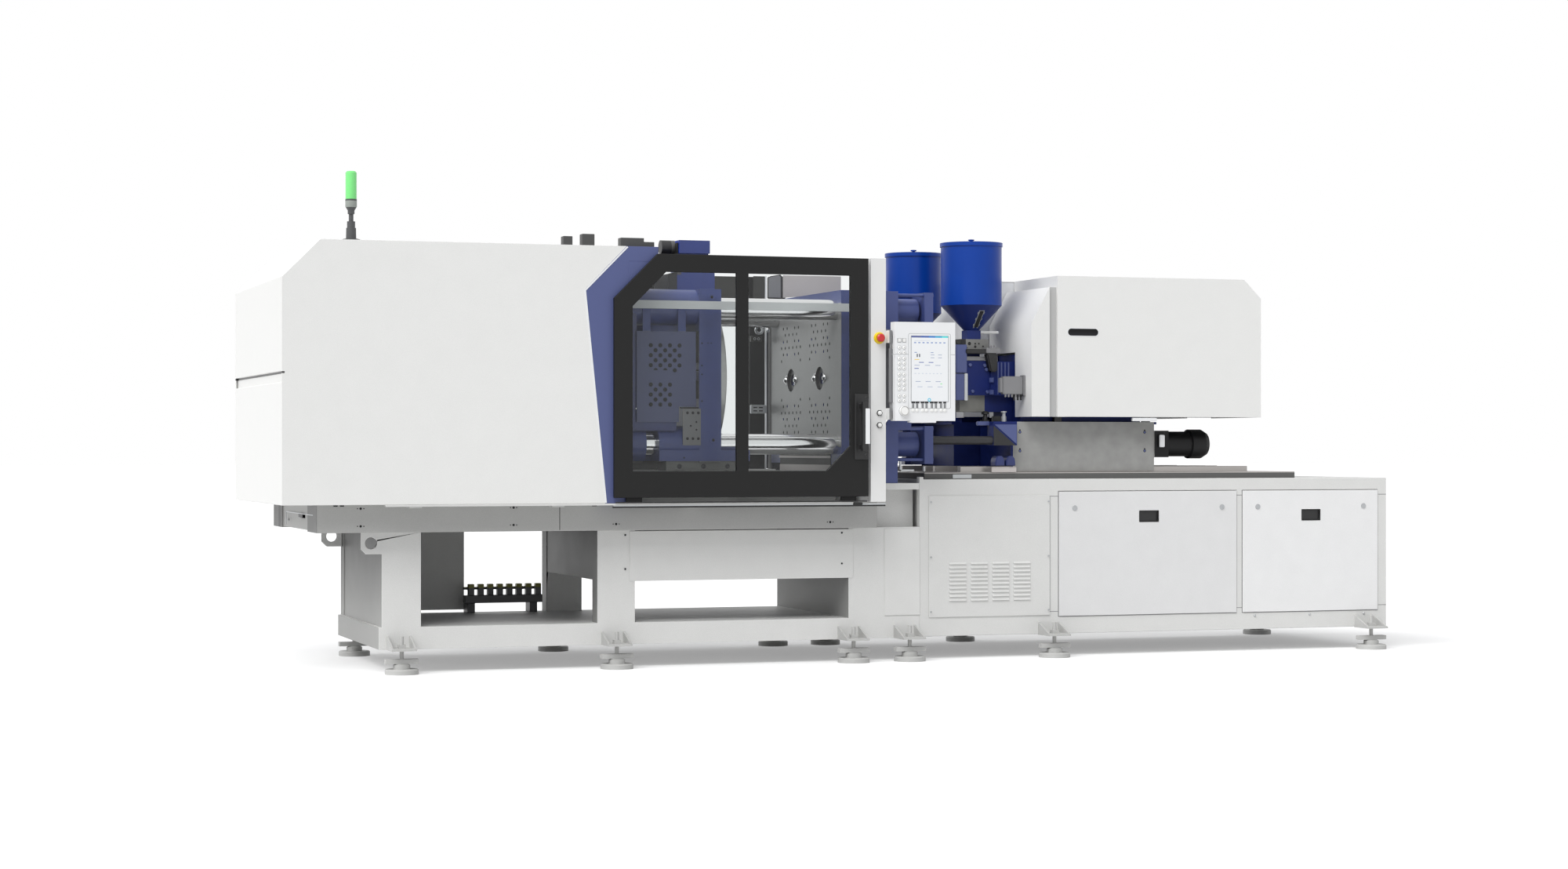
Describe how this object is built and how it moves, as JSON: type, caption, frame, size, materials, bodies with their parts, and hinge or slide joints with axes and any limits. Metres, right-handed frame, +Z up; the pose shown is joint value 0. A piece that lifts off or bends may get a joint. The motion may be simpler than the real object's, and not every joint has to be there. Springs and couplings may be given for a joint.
{
  "type": "injection moulding machine",
  "caption": "horizontal electric injection moulding machine with sliding guard doors, toggle clamp, rotary table platen, twin injection units with hoppers and a swivel control panel",
  "frame": {"origin": "on the floor, below the middle of the machine's length and width", "axes": "+X from the clamp end to the injection end, -Y toward the operator, +Z up"},
  "size_m": [5.944, 1.783, 2.366],
  "materials": {
    "machine_grey": "satin powder coat",
    "cover_white": "satin powder coat",
    "door_dark": "satin",
    "machine_blue": "gloss enamel",
    "hopper_blue": "gloss enamel",
    "steel": "machined",
    "dark_steel": "blackened",
    "chrome_bar": "ground and chromed",
    "pane": "clear safety pane",
    "black_plastic": "fine grain",
    "white_plastic": "fine grain",
    "screen_glass": "lit display",
    "stop_red": "gloss",
    "lens_green": "translucent look",
    "zinc": "plated",
    "rail_steel": "ground"
  },
  "bodies": {
    "machine": {"levelling_feet": "dark_steel", "clamp_base": "machine_grey", "clamp_beams": "machine_grey", "frame_panels": "machine_grey", "valve_manifold": "zinc", "injection_base": "machine_grey", "louvre_panel": "machine_grey", "cabinet_doors": "machine_grey", "cabinet_locks": "zinc", "clamp_cover": "cover_white", "guard_rails": "door_dark", "operator_post": "cover_white", "signal_tower": "black_plastic", "signal_lens": "lens_green", "fixed_platen": "machine_blue", "tie_bars": "chrome_bar", "tie_bar_locks": "machine_blue", "tail_platen": "machine_blue", "clamp_motor": "black_plastic", "base_rails": "rail_steel", "carriage_spindles": "dark_steel"},
    "front_door_leaf": {"front_door": "door_dark", "front_door_glass": "pane", "front_door_handle": "black_plastic"},
    "rear_door_leaf": {"rear_door": "door_dark", "rear_door_glass": "pane"},
    "stop_head": {"emergency_stop": "stop_red"},
    "upper_key": {"button_upper": "zinc"},
    "lower_key": {"button_lower": "zinc"},
    "panel": {"hmi_housing": "white_plastic", "hmi_screen": "screen_glass"},
    "panel_knob": {"hmi_knob": "zinc"},
    "platen": {"moving_platen": "machine_blue", "rotary_drive": "machine_blue", "side_guard": "machine_blue"},
    "table": {"rotary_table": "steel"},
    "ejector": {"ejector_bar": "steel"},
    "rear_arms_upper": {"rear_links_upper": "dark_steel"},
    "rear_arms_lower": {"rear_links_lower": "dark_steel"},
    "front_arms_upper": {"front_links_upper": "dark_steel"},
    "front_arms_lower": {"front_links_lower": "dark_steel"},
    "cross_arms_upper": {"cross_links_upper": "dark_steel"},
    "cross_arms_lower": {"cross_links_lower": "dark_steel"},
    "head": {"crosshead": "steel"},
    "clamp_spindle": {"clamp_screw": "chrome_bar"},
    "unit_front": {"carriage_front": "machine_blue", "barrel_front": "steel", "hopper_front": "hopper_blue", "hopper_lid_front": "hopper_blue", "injection_shroud_front": "cover_white"},
    "plasticising_screw_front": {"screw_front": "steel"},
    "gate_front": {"slide_gate_front": "zinc"},
    "unit_rear": {"carriage_rear": "machine_blue", "barrel_rear": "steel", "hopper_rear": "hopper_blue", "hopper_lid_rear": "hopper_blue", "injection_shroud_rear": "cover_white"},
    "plasticising_screw_rear": {"screw_rear": "steel"},
    "gate_rear": {"slide_gate_rear": "zinc"}
  },
  "joints": [
    {"name": "front_door_slide", "type": "slide", "parent": "machine", "child": "front_door_leaf", "axis": [-1, 0, 0], "range_m": [0, 1.1]},
    {"name": "rear_door_slide", "type": "slide", "parent": "machine", "child": "rear_door_leaf", "axis": [-1, 0, 0], "range_m": [0, 1.1]},
    {"name": "stop_press", "type": "slide", "parent": "machine", "child": "stop_head", "axis": [0, 1, 0], "range_m": [0, 0.005]},
    {"name": "upper_key_press", "type": "slide", "parent": "machine", "child": "upper_key", "axis": [0, 1, 0], "range_m": [0, 0.003], "stiffness_N_per_m": 800},
    {"name": "lower_key_press", "type": "slide", "parent": "machine", "child": "lower_key", "axis": [0, 1, 0], "range_m": [0, 0.003], "stiffness_N_per_m": 800},
    {"name": "panel_swivel", "type": "hinge", "parent": "machine", "child": "panel", "pos_m": [0.012, -0.846, 1.45], "axis": [0, 0, -1], "range_deg": [0, 80]},
    {"name": "panel_knob_turn", "type": "hinge", "parent": "panel", "child": "panel_knob", "pos_m": [0.068, -0.88, 1.254], "axis": [0, -1, 0], "continuous": true},
    {"name": "platen_slide", "type": "slide", "parent": "machine", "child": "platen", "axis": [1, 0, 0], "range_m": [-0.145, 0.25]},
    {"name": "table_index", "type": "hinge", "parent": "platen", "child": "table", "pos_m": [-0.704, 0, 1.428], "axis": [1, 0, 0], "range_deg": [0, 180]},
    {"name": "ejector_slide", "type": "slide", "parent": "platen", "child": "ejector", "axis": [1, 0, 0], "range_m": [0, 0.05]},
    {"name": "rear_arms_upper_swing", "type": "hinge", "parent": "machine", "child": "rear_arms_upper", "pos_m": [-1.571, 0, 1.813], "axis": [0, -1, 0], "range_deg": [-19, 33]},
    {"name": "rear_arms_lower_swing", "type": "hinge", "parent": "machine", "child": "rear_arms_lower", "pos_m": [-1.571, 0, 1.043], "axis": [0, 1, 0], "range_deg": [-19, 33]},
    {"name": "front_arms_upper_swing", "type": "hinge", "parent": "platen", "child": "front_arms_upper", "pos_m": [-1.2003, 0, 1.813], "axis": [0, 1, 0], "range_deg": [-19, 33]},
    {"name": "front_arms_lower_swing", "type": "hinge", "parent": "platen", "child": "front_arms_lower", "pos_m": [-1.2003, 0, 1.043], "axis": [0, -1, 0], "range_deg": [-19, 33]},
    {"name": "head_slide", "type": "slide", "parent": "machine", "child": "head", "axis": [1, 0, 0], "range_m": [-0.145, 0.25]},
    {"name": "cross_arms_upper_swing", "type": "hinge", "parent": "head", "child": "cross_arms_upper", "pos_m": [-1.591, 0, 1.488], "axis": [0, -1, 0], "range_deg": [-21, 36]},
    {"name": "cross_arms_lower_swing", "type": "hinge", "parent": "head", "child": "cross_arms_lower", "pos_m": [-1.591, 0, 1.368], "axis": [0, 1, 0], "range_deg": [-21, 36]},
    {"name": "clamp_spindle_spin", "type": "hinge", "parent": "machine", "child": "clamp_spindle", "pos_m": [-1.7, 0, 1.428], "axis": [1, 0, 0], "continuous": true},
    {"name": "unit_front_slide", "type": "slide", "parent": "machine", "child": "unit_front", "axis": [-1, 0, 0], "range_m": [-0.08, 0.09]},
    {"name": "screw_front_spin", "type": "hinge", "parent": "unit_front", "child": "plasticising_screw_front", "pos_m": [0.6, -0.226, 1.428], "axis": [1, 0, 0], "continuous": true},
    {"name": "gate_front_slide", "type": "slide", "parent": "unit_front", "child": "gate_front", "axis": [1, 0, 0], "range_m": [0, 0.045]},
    {"name": "unit_rear_slide", "type": "slide", "parent": "machine", "child": "unit_rear", "axis": [-1, 0, 0], "range_m": [-0.08, 0.09]},
    {"name": "screw_rear_spin", "type": "hinge", "parent": "unit_rear", "child": "plasticising_screw_rear", "pos_m": [0.5, 0.226, 1.428], "axis": [1, 0, 0], "continuous": true},
    {"name": "gate_rear_slide", "type": "slide", "parent": "unit_rear", "child": "gate_rear", "axis": [1, 0, 0], "range_m": [0, 0.045]}
  ],
  "couplings": [
    {"joint": "rear_arms_upper_swing", "follows": "platen_slide", "rad_per_m": 2.234},
    {"joint": "rear_arms_lower_swing", "follows": "platen_slide", "rad_per_m": 2.234},
    {"joint": "front_arms_upper_swing", "follows": "platen_slide", "rad_per_m": 2.234},
    {"joint": "front_arms_lower_swing", "follows": "platen_slide", "rad_per_m": 2.234},
    {"joint": "head_slide", "follows": "platen_slide", "ratio": 1},
    {"joint": "cross_arms_upper_swing", "follows": "platen_slide", "rad_per_m": 2.5},
    {"joint": "cross_arms_lower_swing", "follows": "platen_slide", "rad_per_m": 2.5}
  ]
}
